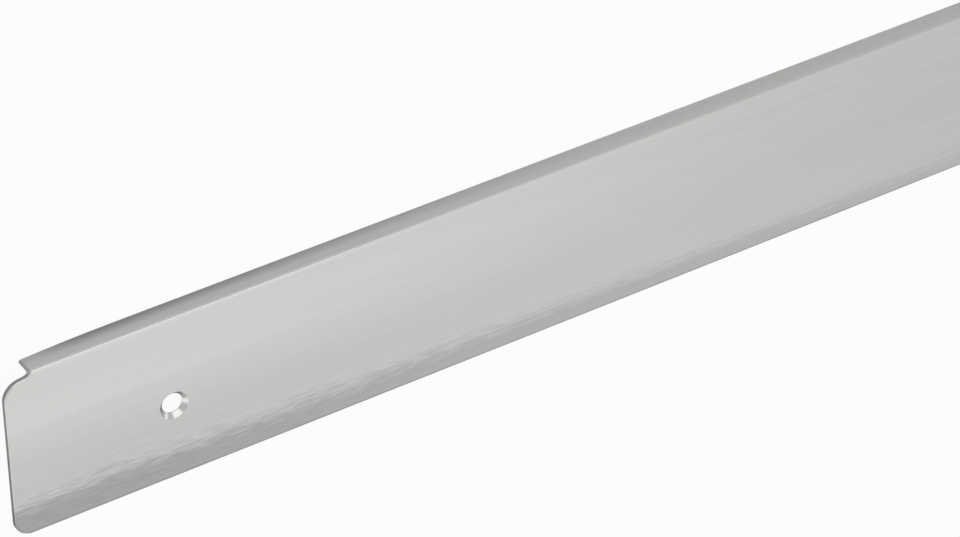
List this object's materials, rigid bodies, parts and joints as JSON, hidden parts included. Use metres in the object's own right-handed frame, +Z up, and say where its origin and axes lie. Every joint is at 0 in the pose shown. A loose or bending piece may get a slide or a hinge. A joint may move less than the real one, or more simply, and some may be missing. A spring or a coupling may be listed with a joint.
{
  "type": "worktop end trim profile",
  "caption": "Straight aluminium end trim for a kitchen worktop: a flat strip with a narrow lip along one long edge, one rounded end and countersunk screw holes.",
  "frame": {"origin": "centre of the strip's footprint, on the floor that it lies on", "axes": "+X along the strip towards its square rear end, +Y across it towards the lip, +Z up, out of the outside face apart from the small tilt that the strip rests at"},
  "size_m": [0.63, 0.038, 0.0052],
  "materials": {
    "brushed_aluminium": "satin, brushed along the length, clear anodised"
  },
  "bodies": {
    "root": {"end_strip": "brushed_aluminium"}
  },
  "joints": []
}
